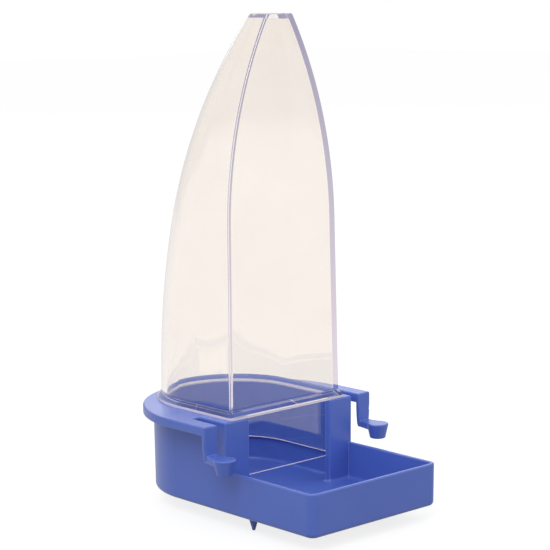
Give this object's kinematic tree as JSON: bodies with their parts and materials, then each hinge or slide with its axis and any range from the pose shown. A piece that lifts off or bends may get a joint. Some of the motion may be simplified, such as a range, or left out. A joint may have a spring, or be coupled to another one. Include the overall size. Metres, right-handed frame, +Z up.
{
  "type": "bird cage waterer",
  "caption": "Clear upright bottle with a pointed-arch back that stands in a blue D-shaped cup with a drinking trough, side pegs hanging over a cage wire.",
  "frame": {"origin": "middle of the horizontal cage wire that the pegs hook over, in the part's middle plane", "axes": "+Z up along the bottle, -Y into the cage towards the drinking trough, +X to the right seen from the trough"},
  "size_m": [0.077, 0.0957, 0.1655],
  "materials": {
    "blue_plastic": "satin, injection moulded",
    "clear_plastic": "clear, polished, injection moulded"
  },
  "bodies": {
    "base": {"base": "blue_plastic"},
    "tower": {"water_tower": "clear_plastic"}
  },
  "joints": [
    {"name": "tower_lift", "type": "slide", "parent": "base", "child": "tower", "axis": [0, 0, 1], "range_m": [0, 0.025]}
  ]
}
